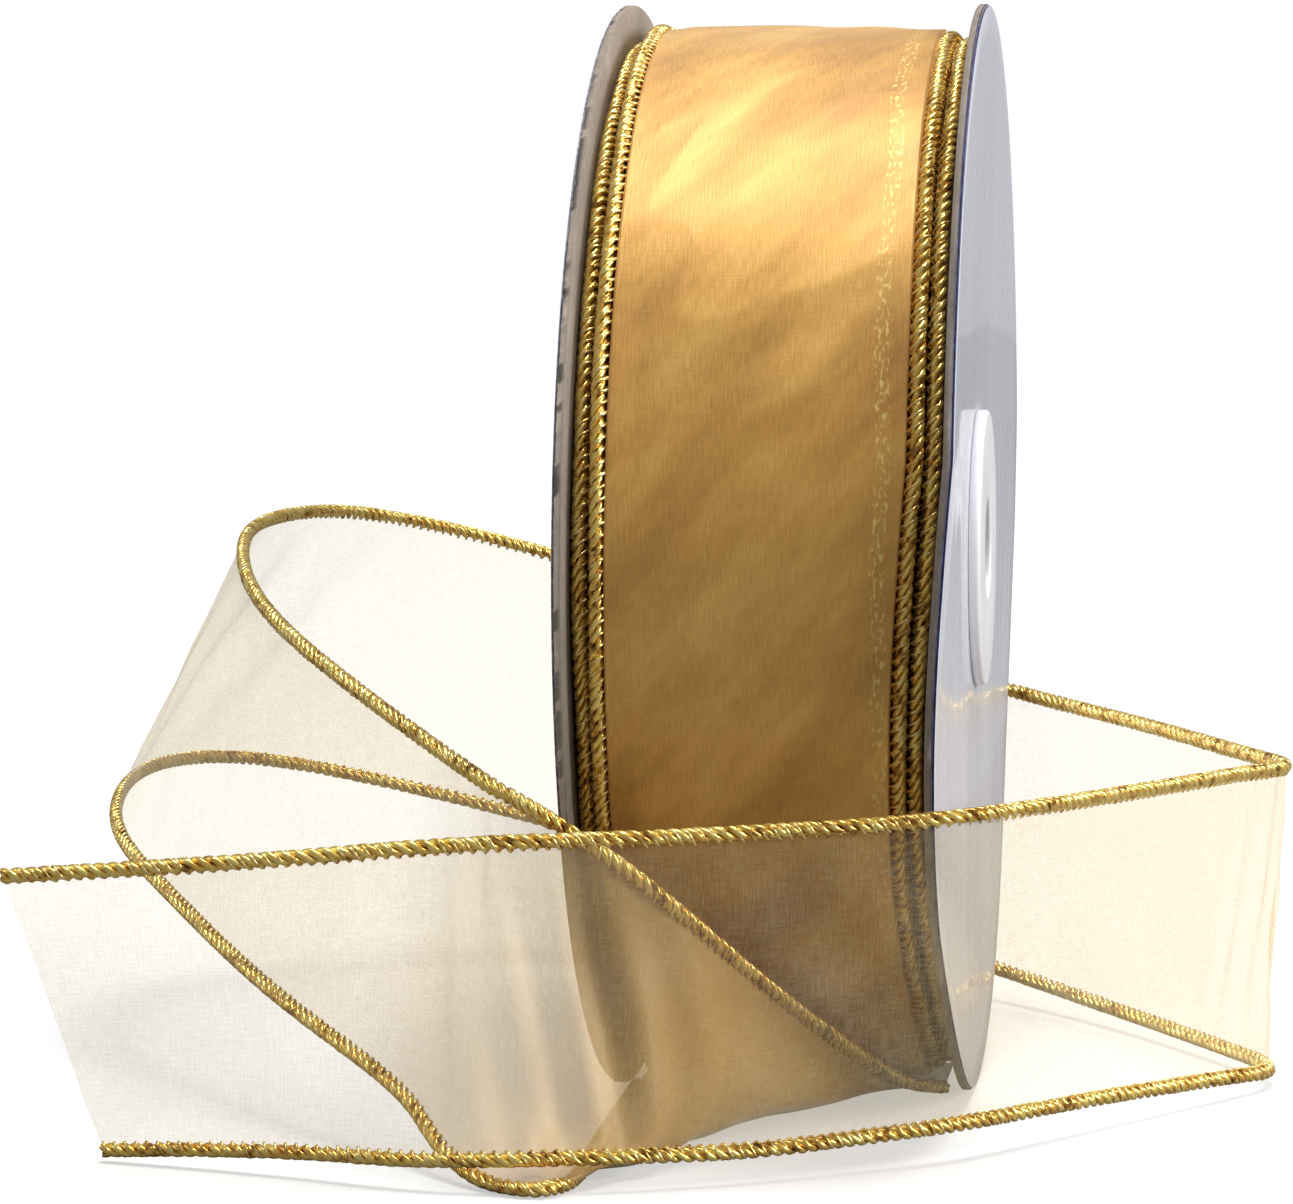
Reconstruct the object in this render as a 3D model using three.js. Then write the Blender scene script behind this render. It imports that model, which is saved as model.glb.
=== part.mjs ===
// Spool of sheer wired-edge ribbon with its free end pulled out and looped round it.
// Millimetres, +Z up. The spool stands on its flange rims: origin under its middle, on the surface it
// stands on, with the spool's axis along X. The free ribbon leaves under the spool towards -Y.
import * as THREE from "three";

// Spool body
const FLANGE_RADIUS = 63.5; // 5 in flange
const FLANGE_GAP = 40.4; // clear width between the two boards at their rims
const FLANGE_DISH = 1.3; // the hubs pull the middle of each flange in by this much
const BOARD_THICKNESS = 0.85;
const FACING_THICKNESS = 0.2; // laminated foil paper outside each board
const FACING_MARGIN = 0.25; // the facing is cut this much smaller than the board
const GLUE_LINE = 0.05;
const BOARD_HOLE_RADIUS = 14.3;
const CORE_RADIUS = 17;
const CORE_WALL = 1.8;
const CORE_CLEARANCE = 0.3; // from each end of the core to the board
const HUB_RIM_RADIUS = 16.2;
const HUB_RIM_THICKNESS = 1.3;
const HUB_SLEEVE_RADIUS = 13.9;
const HUB_BORE_RADIUS = 5.8;
const HUB_SLEEVE_LENGTH = 9; // inside the board's outer face
const HUB_EDGE_RADIUS = 0.5;

// Wound ribbon
const CORD_RADIUS = 0.8;
const WOUND_RADIUS = 62;
const WEB_STEP = 0.7; // the sheer web lies this much below its thicker edge cords
const WRAP_WIDTH = 1.7; // axial width of one column of wound edge cord
const WRAP_GAP = 0.3; // round each wound solid
const TAPE_THICKNESS = 0.15;
const TAPE_WIDTH = 30;
const TAPE_ANGLE = 1.3; // radians round the core

// Free ribbon
const WEB_THICKNESS = 0.3;
const WEB_MARGIN = 1.5; // from an edge cord's centre to the web's edge
const WIRE_RADIUS = 0.25;
const WIRE_BORE_RADIUS = 0.5; // room in the overlocked cord for its wire
const CORD_SIDES = 8;
const WIRE_SIDES = 6;
const ROUTE_STEPS = 80;

const ROUND_SEGMENTS = 84;
const SMALL_SEGMENTS = 48;

// Route of the free ribbon: at each station the centre of cord A (the roll's right edge, which becomes the
// top edge of the loop), the centre of cord B (the roll's left edge, the bottom edge of the loop) and, where
// the ribbon turns over on the floor, the four points that the web's width passes through.
const ROUTE = [
  {
    a: [17.3, -11.5, 1.3],
    b: [-18.7, -11.5, 0.9],
    web: [[15.8, -11.5, 1.2], [5, -11.5, 1.1], [-7, -11.5, 1], [-17.2, -11.5, 0.9]],
  },
  {
    a: [13, -20, 3.5],
    b: [-18.6, -30, 0.9],
    web: [[11.6, -20.6, 3], [6, -24, 1.4], [-6, -27, 1], [-17.1, -30, 0.9]],
  },
  {
    a: [8, -33, 9.5],
    b: [-18.4, -46, 0.9],
    web: [[6.8, -34, 8.6], [3, -37, 3.5], [-7, -42, 1], [-16.9, -46, 0.9]],
  },
  {
    a: [1, -45.5, 17.5],
    b: [-18.2, -60, 0.9],
    web: [[0.2, -46.5, 16.4], [-2.5, -50, 7], [-9, -55.5, 1.2], [-16.7, -59, 1]],
  },
  {
    a: [-6, -56.5, 26],
    b: [-18.2, -71, 0.9],
    web: [[-6.6, -57.2, 24.6], [-9, -59.5, 12], [-12, -64, 2], [-15.2, -69, 1.9]],
  },
  {
    a: [-13.5, -62, 33.3],
    b: [-21.5, -75.2, 0.9],
    web: [[-14, -62, 31.8], [-15.5, -61.5, 20], [-17.5, -65, 4], [-20.6, -72.4, 2.3]],
  },
  {
    a: [-21.5, -63.6, 38.7],
    b: [-28, -71, 1],
    web: [[-22, -63.4, 37.2], [-24, -62.5, 26], [-26, -64.5, 9], [-27.2, -69.6, 1.8]],
  },
  { a: [-25.5, -61, 40.5], b: [-33.5, -64.5, 3.4] },
  { a: [-30, -57.5, 42.3], b: [-39.5, -56, 8] },
  { a: [-46.5, -36.5, 49], b: [-57.5, -34.5, 14.5] },
  { a: [-61, -13.5, 55], b: [-73.5, -11, 21] },
  { a: [-70.5, 12.5, 59.5], b: [-87, 13, 27] },
  { a: [-74.5, 40, 63], b: [-90, 41, 31] },
  { a: [-67.5, 67, 63], b: [-81, 68, 29.5] },
  { a: [-49.5, 88, 57.5], b: [-59.5, 85.5, 23] },
  { a: [-23.5, 94, 49.5], b: [-32.5, 90, 15.5] },
  { a: [2.5, 85.5, 43], b: [-6.5, 81, 8.5] },
  { a: [23, 67, 39.5], b: [16, 64, 4.5] },
  { a: [38.5, 42.5, 38.5], b: [34, 41.5, 2.5] },
  { a: [51, 16.5, 38], b: [48.5, 16.5, 2] },
  { a: [56.5, 2, 38], b: [55, 2.5, 1.8] },
  { a: [51.5, -10, 38.5], b: [49.5, -8.5, 2.5] },
  { a: [39.5, -34, 39], b: [36, -28.5, 3.5] },
  { a: [26, -58.5, 39.5], b: [22, -48.5, 4] },
  { a: [14, -64, 38.7], b: [11, -57.5, 3.8] },
  { a: [3, -67, 38.2], b: [0.5, -64.5, 3.5] },
  { a: [-8.5, -70.5, 37.8], b: [-11, -70, 3.7] },
  { a: [-20.5, -73.5, 37.6], b: [-23, -73.5, 3.7] },
  { a: [-33, -75.5, 37], b: [-35, -72.5, 3.2] },
  { a: [-45, -77, 36], b: [-46.5, -68, 2.8] },
  { a: [-57.5, -78, 35], b: [-59, -64, 2.1] },
  { a: [-77.5, -78, 33.5], b: [-71, -61, 1.2] },
];

// The four points that the web's width passes through at a station: its two edges, which stop short of
// the cords, and two between them.
function webPoints(station) {
  if (station.web) return station.web.map((p) => new THREE.Vector3(...p));
  const a = new THREE.Vector3(...station.a);
  const b = new THREE.Vector3(...station.b);
  const margin = WEB_MARGIN / a.distanceTo(b);
  return [margin, 1 / 3, 2 / 3, 1 - margin].map((share) => a.clone().lerp(b, share));
}

// A smooth line that is stepped station by station, so that cords, wires and web all step together.
class StationLine extends THREE.CatmullRomCurve3 {
  getPointAt(u, target) {
    return this.getPoint(u, target);
  }

  getTangentAt(u, target) {
    return this.getTangent(u, target);
  }
}

const smoothLine = (points) => new StationLine(points, false, "catmullrom", 0.5);
const lineA = smoothLine(ROUTE.map((s) => new THREE.Vector3(...s.a)));
const lineB = smoothLine(ROUTE.map((s) => new THREE.Vector3(...s.b)));
const webLines = [0, 1, 2, 3].map((k) => smoothLine(ROUTE.map((s) => webPoints(s)[k])));

const ribbonSpool = new THREE.Group();
const spool = new THREE.Group(); // everything that turns with the spool, about X
spool.position.z = FLANGE_RADIUS;
const freeRibbon = new THREE.Group();
ribbonSpool.add(spool, freeRibbon);

const chipboard = () => new THREE.MeshStandardMaterial({ color: 0x8a8078, roughness: 0.9 });
const foilPaper = () => new THREE.MeshStandardMaterial({ color: 0xc9c6d6, roughness: 0.25, metalness: 0.4 });
const whitePlastic = () => new THREE.MeshStandardMaterial({ color: 0xeeeef0, roughness: 0.35 });
const organza = () => new THREE.MeshStandardMaterial({ color: 0xd8a84e, roughness: 0.4, metalness: 0.2 });
const goldThread = () => new THREE.MeshStandardMaterial({ color: 0xb8902e, roughness: 0.3, metalness: 0.8 });
const brassWire = () => new THREE.MeshStandardMaterial({ color: 0xa9803a, roughness: 0.4, metalness: 1 });
const clearTape = () => new THREE.MeshStandardMaterial({ color: 0xe6dfc8, roughness: 0.2 });

function addMesh(group, name, geometry, material) {
  const mesh = new THREE.Mesh(geometry, material);
  mesh.name = name;
  group.add(mesh);
  return mesh;
}

// Turns a closed outline of [x along the axis, radius] about the X axis; the outline runs with its outer
// side going towards -X, so that the faces point out.
function turnedAboutX(outline, segments) {
  const closed = [...outline, outline[0]].map(([x, radius]) => new THREE.Vector2(radius, x));
  const geometry = new THREE.LatheGeometry(closed, segments);
  geometry.rotateZ(-Math.PI / 2);
  return geometry;
}

// How far a flange's dish has moved it in at a radius: flat where hub and core clamp it, then a cone.
function dishAt(radius) {
  return FLANGE_DISH * Math.min(1, (FLANGE_RADIUS - radius) / (FLANGE_RADIUS - CORE_RADIUS));
}

// Moves an outline in along the axis with the flanges' dish.
const dished = (outline) => outline.map(([x, radius]) => [x - Math.sign(x) * dishAt(radius), radius]);

// A disc against the flange, with an extra point on each face where the flange starts to slope.
function discOutline(xLow, xHigh, innerRadius, outerRadius) {
  return dished([
    [xLow, innerRadius],
    [xLow, CORE_RADIUS],
    [xLow, outerRadius],
    [xHigh, outerRadius],
    [xHigh, CORE_RADIUS],
    [xHigh, innerRadius],
  ]);
}

function ringOutline(xLow, xHigh, innerRadius, outerRadius) {
  return [
    [xLow, innerRadius],
    [xLow, outerRadius],
    [xHigh, outerRadius],
    [xHigh, innerRadius],
  ];
}

const boardInside = FLANGE_GAP / 2;
const boardOutside = boardInside + BOARD_THICKNESS;
const facingInside = boardOutside + GLUE_LINE;
const facingOutside = facingInside + FACING_THICKNESS;

// Mirrors an outline to the left end of the spool and keeps its turning sense.
const mirrored = (outline) => outline.map(([x, radius]) => [-x, radius]).reverse();

function addEnd(side, place) {
  const board = discOutline(boardInside, boardOutside, BOARD_HOLE_RADIUS, FLANGE_RADIUS);
  addMesh(spool, `${side}_flange_board`, turnedAboutX(place(board), ROUND_SEGMENTS), chipboard());

  const facingRadius = FLANGE_RADIUS - FACING_MARGIN;
  const facing = discOutline(facingInside, facingOutside, BOARD_HOLE_RADIUS, facingRadius);
  addMesh(spool, `${side}_flange_facing`, turnedAboutX(place(facing), ROUND_SEGMENTS), foilPaper());

  // Moulded hub: a rim that lies on the facing and a bored sleeve pushed into the core.
  const rimInside = facingOutside + GLUE_LINE;
  const rimOutside = rimInside + HUB_RIM_THICKNESS;
  const hub = dished([
    [boardOutside - HUB_SLEEVE_LENGTH, HUB_BORE_RADIUS],
    [boardOutside - HUB_SLEEVE_LENGTH, HUB_SLEEVE_RADIUS],
    [rimInside, HUB_SLEEVE_RADIUS],
    [rimInside, HUB_RIM_RADIUS],
    [rimOutside - HUB_EDGE_RADIUS, HUB_RIM_RADIUS],
    [rimOutside, HUB_RIM_RADIUS - HUB_EDGE_RADIUS],
    [rimOutside, HUB_BORE_RADIUS],
  ]);
  addMesh(spool, `${side}_hub`, turnedAboutX(place(hub), SMALL_SEGMENTS), whitePlastic());
}
addEnd("right", (outline) => outline);
addEnd("left", mirrored);

// Paperboard core and the tape that holds the ribbon's inner end on it
const coreHalf = boardInside - FLANGE_DISH - CORE_CLEARANCE;
const core = ringOutline(-coreHalf, coreHalf, CORE_RADIUS - CORE_WALL, CORE_RADIUS);
addMesh(spool, "core_tube", turnedAboutX(core, SMALL_SEGMENTS), chipboard());

const tapeInside = CORE_RADIUS + GLUE_LINE;
const tapeShape = new THREE.Shape();
tapeShape.absarc(0, 0, tapeInside + TAPE_THICKNESS, 0, TAPE_ANGLE, false);
tapeShape.absarc(0, 0, tapeInside, TAPE_ANGLE, 0, true);
const tapeGeometry = new THREE.ExtrudeGeometry(tapeShape, {
  depth: TAPE_WIDTH,
  bevelEnabled: false,
  curveSegments: 10,
});
tapeGeometry.translate(0, 0, -TAPE_WIDTH / 2);
tapeGeometry.rotateY(Math.PI / 2);
addMesh(spool, "start_tape", tapeGeometry, clearTape());

// Wound ribbon: the web between the cords, and two columns of edge cord at each end because the turns
// wander sideways by the play between the flanges.
const woundInside = tapeInside + TAPE_THICKNESS + WRAP_GAP;
const outerColumn = boardInside - WRAP_GAP - WRAP_WIDTH;
const innerColumn = outerColumn - WRAP_GAP - WRAP_WIDTH;
const webHalf = innerColumn - WRAP_GAP;
const woundWeb = dished(ringOutline(-webHalf, webHalf, woundInside, WOUND_RADIUS - WEB_STEP));
addMesh(spool, "wound_web", turnedAboutX(woundWeb, ROUND_SEGMENTS), organza());

for (const [side, place] of [["right", (outline) => outline], ["left", mirrored]]) {
  for (const [column, xLow] of [["outer", outerColumn], ["inner", innerColumn]]) {
    const wraps = dished(ringOutline(xLow, xLow + WRAP_WIDTH, woundInside, WOUND_RADIUS));
    const name = `${side}_${column}_cord_wraps`;
    addMesh(spool, name, turnedAboutX(place(wraps), ROUND_SEGMENTS), goldThread());
  }
}

// Free edge cords: overlocked metallic thread round a wire, so each is a tube with its wire inside.
function circle(radius, sides, PathType = THREE.Shape) {
  const path = new PathType();
  for (let k = 0; k < sides; k++) {
    const angle = (2 * Math.PI * k) / sides;
    if (k === 0) path.moveTo(radius, 0);
    else path.lineTo(radius * Math.cos(angle), radius * Math.sin(angle));
  }
  path.closePath();
  return path;
}

function alongLine(section, line) {
  return new THREE.ExtrudeGeometry(section, { extrudePath: line, steps: ROUTE_STEPS, bevelEnabled: false });
}

for (const [edge, line] of [["top", lineA], ["bottom", lineB]]) {
  const cordSection = circle(CORD_RADIUS, CORD_SIDES);
  cordSection.holes.push(circle(WIRE_BORE_RADIUS, WIRE_SIDES, THREE.Path));
  addMesh(freeRibbon, `free_${edge}_cord`, alongLine(cordSection, line), goldThread());
  addMesh(freeRibbon, `free_${edge}_wire`, alongLine(circle(WIRE_RADIUS, WIRE_SIDES), line), brassWire());
}

// Free web: a thin strip whose width runs from cord to cord through four lines.
function webRing(t) {
  const across = webLines.map((line) => line.getPoint(t));
  const along = webLines[1].getTangent(t).add(webLines[2].getTangent(t)).normalize();
  const front = [];
  const back = [];
  across.forEach((point, k) => {
    const before = across[Math.max(k - 1, 0)];
    const after = across[Math.min(k + 1, across.length - 1)];
    const normal = along.clone().cross(after.clone().sub(before)).setLength(WEB_THICKNESS / 2);
    front.push(point.clone().add(normal));
    back.unshift(point.clone().sub(normal));
  });
  return [...front, ...back];
}

function webGeometry() {
  const positions = [];
  const indices = [];
  const rings = [];
  for (let i = 0; i <= ROUTE_STEPS; i++) rings.push(webRing(i / ROUTE_STEPS));
  for (const p of rings.flat()) positions.push(p.x, p.y, p.z);
  const ringSize = rings[0].length;
  const ringStart = (i) => i * ringSize;
  for (let i = 0; i < ROUTE_STEPS; i++) {
    for (let k = 0; k < ringSize; k++) {
      const next = (k + 1) % ringSize;
      const [p, q] = [ringStart(i) + k, ringStart(i) + next];
      const [r, s] = [ringStart(i + 1) + k, ringStart(i + 1) + next];
      // Front and back are split along the same diagonal, so a twist can't push one through the other
      if (k < webLines.length) indices.push(p, r, q, q, r, s);
      else indices.push(p, r, s, p, s, q);
    }
  }
  // End caps: quads between the front row of points and the back row
  const lastPoint = ringSize - 1;
  for (const [start, flip] of [[ringStart(0), false], [ringStart(ROUTE_STEPS), true]]) {
    for (let k = 0; k < webLines.length - 1; k++) {
      const quad = [start + k, start + k + 1, start + lastPoint - k - 1, start + lastPoint - k];
      const [p, q, r, s] = flip ? [...quad].reverse() : quad;
      indices.push(p, q, r, p, r, s);
    }
  }
  const geometry = new THREE.BufferGeometry();
  geometry.setAttribute("position", new THREE.Float32BufferAttribute(positions, 3));
  geometry.setIndex(indices);
  return geometry;
}
addMesh(freeRibbon, "free_web", webGeometry(), organza());

export default ribbonSpool;
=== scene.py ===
import math

import bpy
import numpy as np
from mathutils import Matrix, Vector, noise


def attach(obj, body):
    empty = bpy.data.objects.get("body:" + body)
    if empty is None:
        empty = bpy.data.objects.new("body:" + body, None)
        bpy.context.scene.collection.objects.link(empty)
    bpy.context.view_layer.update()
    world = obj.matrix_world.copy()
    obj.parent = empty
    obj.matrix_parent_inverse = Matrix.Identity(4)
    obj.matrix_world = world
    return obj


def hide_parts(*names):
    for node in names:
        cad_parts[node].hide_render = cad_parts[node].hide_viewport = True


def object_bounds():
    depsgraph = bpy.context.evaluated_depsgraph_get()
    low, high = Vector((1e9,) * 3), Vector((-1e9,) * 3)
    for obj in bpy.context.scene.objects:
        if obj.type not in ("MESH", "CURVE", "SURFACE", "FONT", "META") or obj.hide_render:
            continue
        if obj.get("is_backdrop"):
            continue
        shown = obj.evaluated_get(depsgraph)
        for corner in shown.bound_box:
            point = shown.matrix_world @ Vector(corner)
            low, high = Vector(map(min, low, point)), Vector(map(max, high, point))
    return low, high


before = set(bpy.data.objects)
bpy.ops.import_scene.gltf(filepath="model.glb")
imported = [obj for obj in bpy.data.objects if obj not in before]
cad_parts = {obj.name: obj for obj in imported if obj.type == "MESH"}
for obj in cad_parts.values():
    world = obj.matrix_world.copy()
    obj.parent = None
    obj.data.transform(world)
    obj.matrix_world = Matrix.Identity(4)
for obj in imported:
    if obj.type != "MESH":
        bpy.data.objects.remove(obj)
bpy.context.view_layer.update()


# ---- Camera, lights and floor ----------------------------------------------------------------------
# A long lens at the height of the upper rim, a little to the right of the spool. A big soft light
# hangs overhead, a strong one stands at the right and a weak one at the left, over a plain pale floor.
def add_node(tree, kind, inputs=(), **settings):
    """Adds a node, sets its settings, and links or sets its inputs."""
    node = tree.nodes.new(kind)
    for name, value in settings.items():
        setattr(node, name, value)
    for socket, value in dict(inputs).items():
        if isinstance(value, bpy.types.NodeSocket):
            tree.links.new(value, node.inputs[socket])
        else:
            node.inputs[socket].default_value = value
    return node


def show(thing):
    bpy.context.scene.collection.objects.link(thing)
    return thing


camera = show(bpy.data.objects.new("camera", bpy.data.cameras.new("camera")))
CAMERA_DIP = math.radians(4.67)
CAMERA_TURN = math.radians(7.33)
camera.data.lens = 139.2
camera.data.sensor_width = 36
camera.location = (0.0563, -0.5868, 0.105)
camera.rotation_euler = (math.radians(90) - CAMERA_DIP, 0, CAMERA_TURN)
bpy.context.scene.camera = camera
bpy.context.scene.view_settings.view_transform = "Standard"


def soft_light(name, place, aim, size, power):
    """An area light of that size and power in watts, turned towards its aim."""
    lamp = bpy.data.lights.new(name, "AREA")
    lamp.shape = "RECTANGLE"
    lamp.size, lamp.size_y = size
    lamp.energy = power
    light = show(bpy.data.objects.new(name, lamp))
    light.location = place
    light.rotation_euler = (Vector(aim) - Vector(place)).to_track_quat("-Z", "Y").to_euler()


soft_light("top_light", (0.1, 0.03, 1.18), (0, 0, 0.07), (0.6, 0.5), 11.5)
soft_light("left_light", (-1.0, -0.35, 0.45), (0, 0, 0.06), (0.5, 0.5), 1.5)
soft_light("right_light", (1.1, -0.2, 0.45), (0, 0, 0.06), (0.6, 0.6), 12.5)

world = bpy.data.worlds.new("pale_surround")
bpy.context.scene.world = world
world.use_nodes = True
surround = world.node_tree
surround.nodes.clear()
ray = add_node(surround, "ShaderNodeLightPath")
AMBIENT = 0.28
ambient = add_node(surround, "ShaderNodeBackground", {"Color": (0.96, 0.98, 1, 1), "Strength": AMBIENT})
seen = add_node(surround, "ShaderNodeBackground", {"Color": (1, 1, 1, 1), "Strength": 1.0})
mixed = add_node(surround, "ShaderNodeMixShader", {0: ray.outputs["Is Camera Ray"],
                                                   1: ambient.outputs[0], 2: seen.outputs[0]})
add_node(surround, "ShaderNodeOutputWorld", {"Surface": mixed.outputs[0]})


def new_material(name):
    """An empty node material: its tree and its Principled shader."""
    material = bpy.data.materials.new(name)
    material.use_nodes = True
    tree = material.node_tree
    tree.nodes.clear()
    shader = add_node(tree, "ShaderNodeBsdfPrincipled")
    add_node(tree, "ShaderNodeOutputMaterial", {"Surface": shader.outputs[0]})
    return material, tree, shader


def colour_ramp(tree, factor, stops):
    """A colour ramp over factor; stops are (position, (red, green, blue))."""
    ramp = add_node(tree, "ShaderNodeValToRGB", {"Fac": factor})
    elements = ramp.color_ramp.elements
    while len(elements) < len(stops):
        elements.new(0.5)
    for element, (position, colour) in zip(elements, stops):
        element.position = position
        element.color = (*colour, 1)
    return ramp.outputs["Color"]


def stretched(tree, source, scale, turn=(0, 0, 0)):
    """Coordinates from a socket, scaled and turned, for a pattern of that many repeats a metre."""
    return add_node(tree, "ShaderNodeMapping", {"Vector": source, "Scale": scale,
                                                "Rotation": turn}).outputs["Vector"]


def noise_of(tree, vector, scale=1.0, detail=2.0, roughness=0.5):
    node = add_node(tree, "ShaderNodeTexNoise", {"Vector": vector, "Scale": scale, "Detail": detail,
                                                 "Roughness": roughness})
    return node.outputs["Fac"]


def bumped(tree, shader, height, strength, distance):
    bump = add_node(tree, "ShaderNodeBump", {"Height": height, "Strength": strength,
                                             "Distance": distance})
    tree.links.new(bump.outputs["Normal"], shader.inputs["Normal"])


NEAR_GLOW = 0.48
SHADOW_REACH = 0.1
PALE_FROM = 0.3


def floor_paint():
    """White paper that takes the spool's shadow near it and fades to the surround's white further off.
    It sends little light back up."""
    material, tree, shader = new_material("pale_floor")
    place = add_node(tree, "ShaderNodeTexCoord").outputs["Object"]
    clouds = noise_of(tree, place, 9.0, 3)
    away = add_node(tree, "ShaderNodeVectorMath", {0: place}, operation="LENGTH").outputs["Value"]
    fade = add_node(tree, "ShaderNodeMapRange", {"Value": away, "From Min": SHADOW_REACH,
                                                 "From Max": PALE_FROM}).outputs[0]
    near = colour_ramp(tree, clouds, [(0.3, (0.50, 0.50, 0.50)), (0.7, (0.54, 0.54, 0.54))])
    pale = add_node(tree, "ShaderNodeMix", {0: fade, 6: near, 7: (0.1, 0.1, 0.1, 1)},
                    data_type="RGBA").outputs[2]
    seen_directly = add_node(tree, "ShaderNodeLightPath").outputs["Is Camera Ray"]
    paint = add_node(tree, "ShaderNodeMix", {0: seen_directly, 6: (0.2, 0.2, 0.2, 1), 7: pale},
                     data_type="RGBA").outputs[2]
    tree.links.new(paint, shader.inputs["Base Color"])
    shader.inputs["Roughness"].default_value = 0.9
    shader.inputs["Emission Color"].default_value = (1, 1, 1, 1)
    glow = add_node(tree, "ShaderNodeMapRange", {"Value": fade, "To Min": NEAR_GLOW}).outputs[0]
    tree.links.new(add_node(tree, "ShaderNodeMath", {0: seen_directly, 1: glow},
                            operation="MULTIPLY").outputs[0], shader.inputs["Emission Strength"])
    return material


FLOOR_HALF = 3.0
FLOOR_DROP = 0.0001
floor_mesh = bpy.data.meshes.new("floor")
floor_mesh.from_pydata([(x * FLOOR_HALF, y * FLOOR_HALF, -FLOOR_DROP)
                        for x, y in ((-1, -1), (1, -1), (1, 1), (-1, 1))], [], [(0, 1, 2, 3)])
floor_mesh.materials.append(floor_paint())
show(bpy.data.objects.new("floor", floor_mesh))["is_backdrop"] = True


# ---- Free edge cords -------------------------------------------------------------------------------
# Each edge of the ribbon is overlocked with flat metallic thread round a fine wire: a laid cord of
# three plies, and a stitch thread that goes round it and loops a little way into the web.
MM = 0.001
# Stations along the free ribbon, in mm: its top cord, its bottom cord and, where it is folded over,
# four points of the web between them
ROUTE = [
    {"a": (17.3, -11.5, 1.3), "b": (-18.7, -11.5, 0.9),
     "web": [(15.8, -11.5, 1.2), (5, -11.5, 1.1), (-7, -11.5, 1), (-17.2, -11.5, 0.9)]},
    {"a": (13, -20, 3.5), "b": (-18.6, -30, 0.9),
     "web": [(11.6, -20.6, 3), (6, -24, 1.4), (-6, -27, 1), (-17.1, -30, 0.9)]},
    {"a": (8, -33, 9.5), "b": (-18.4, -46, 0.9),
     "web": [(6.8, -34, 8.6), (3, -37, 3.5), (-7, -42, 1), (-16.9, -46, 0.9)]},
    {"a": (1, -45.5, 17.5), "b": (-18.2, -60, 0.9),
     "web": [(0.2, -46.5, 16.4), (-2.5, -50, 7), (-9, -55.5, 1.2), (-16.7, -59, 1)]},
    {"a": (-6, -56.5, 26), "b": (-18.2, -71, 0.9),
     "web": [(-6.6, -57.2, 24.6), (-9, -59.5, 12), (-12, -64, 2), (-15.2, -69, 1.9)]},
    {"a": (-13.5, -62, 33.3), "b": (-21.5, -75.2, 0.9),
     "web": [(-14, -62, 31.8), (-15.5, -61.5, 20), (-17.5, -65, 4), (-20.6, -72.4, 2.3)]},
    {"a": (-21.5, -63.6, 38.7), "b": (-28, -71, 1),
     "web": [(-22, -63.4, 37.2), (-24, -62.5, 26), (-26, -64.5, 9), (-27.2, -69.6, 1.8)]},
    {"a": (-25.5, -61, 40.5), "b": (-33.5, -64.5, 3.4)},
    {"a": (-30, -57.5, 42.3), "b": (-39.5, -56, 8)},
    {"a": (-46.5, -36.5, 49), "b": (-57.5, -34.5, 14.5)},
    {"a": (-61, -13.5, 55), "b": (-73.5, -11, 21)},
    {"a": (-70.5, 12.5, 59.5), "b": (-87, 13, 27)},
    {"a": (-74.5, 40, 63), "b": (-90, 41, 31)},
    {"a": (-67.5, 67, 63), "b": (-81, 68, 29.5)},
    {"a": (-49.5, 88, 57.5), "b": (-59.5, 85.5, 23)},
    {"a": (-23.5, 94, 49.5), "b": (-32.5, 90, 15.5)},
    {"a": (2.5, 85.5, 43), "b": (-6.5, 81, 8.5)},
    {"a": (23, 67, 39.5), "b": (16, 64, 4.5)},
    {"a": (38.5, 42.5, 38.5), "b": (34, 41.5, 2.5)},
    {"a": (51, 16.5, 38), "b": (48.5, 16.5, 2)},
    {"a": (56.5, 2, 38), "b": (55, 2.5, 1.8)},
    {"a": (51.5, -10, 38.5), "b": (49.5, -8.5, 2.5)},
    {"a": (39.5, -34, 39), "b": (36, -28.5, 3.5)},
    {"a": (26, -58.5, 39.5), "b": (22, -48.5, 4)},
    {"a": (14, -64, 38.7), "b": (11, -57.5, 3.8)},
    {"a": (3, -67, 38.2), "b": (0.5, -64.5, 3.5)},
    {"a": (-8.5, -70.5, 37.8), "b": (-11, -70, 3.7)},
    {"a": (-20.5, -73.5, 37.6), "b": (-23, -73.5, 3.7)},
    {"a": (-33, -75.5, 37), "b": (-35, -72.5, 3.2)},
    {"a": (-45, -77, 36), "b": (-46.5, -68, 2.8)},
    {"a": (-57.5, -78, 35), "b": (-59, -64, 2.1)},
    {"a": (-77.5, -78, 33.5), "b": (-71, -61, 1.2)},
]
CORD_RADIUS = 0.8 * MM
CORD_LOWEST = 0.85 * MM
WEB_MARGIN = 1.5
ROUTE_STEPS = 900


def station_points(station):
    """The six points that the ribbon's width passes through: cord, four on the web, cord."""
    a, b = np.array(station["a"], float), np.array(station["b"], float)
    margin = WEB_MARGIN / np.linalg.norm(b - a)
    shares = (margin, 1 / 3, 2 / 3, 1 - margin)
    web = station.get("web") or [a + (b - a) * share for share in shares]
    return np.array([a, *web, b], float) * MM


def smooth_line(stations, steps):
    """A Catmull-Rom line through one point of each station, stepped station by station."""
    points = np.array(stations, float)
    padded = np.vstack([2 * points[0] - points[1], points, 2 * points[-1] - points[-2]])
    along = np.linspace(0, len(points) - 1, steps)
    first = np.minimum(along.astype(int), len(points) - 2)
    share = (along - first)[:, None]
    p0, p1, p2, p3 = (padded[first + k] for k in range(4))
    return p1 + 0.5 * share * ((p2 - p0) + share * ((2 * p0 - 5 * p1 + 4 * p2 - p3)
                                                    + share * (3 * (p1 - p2) + p3 - p0)))


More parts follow.
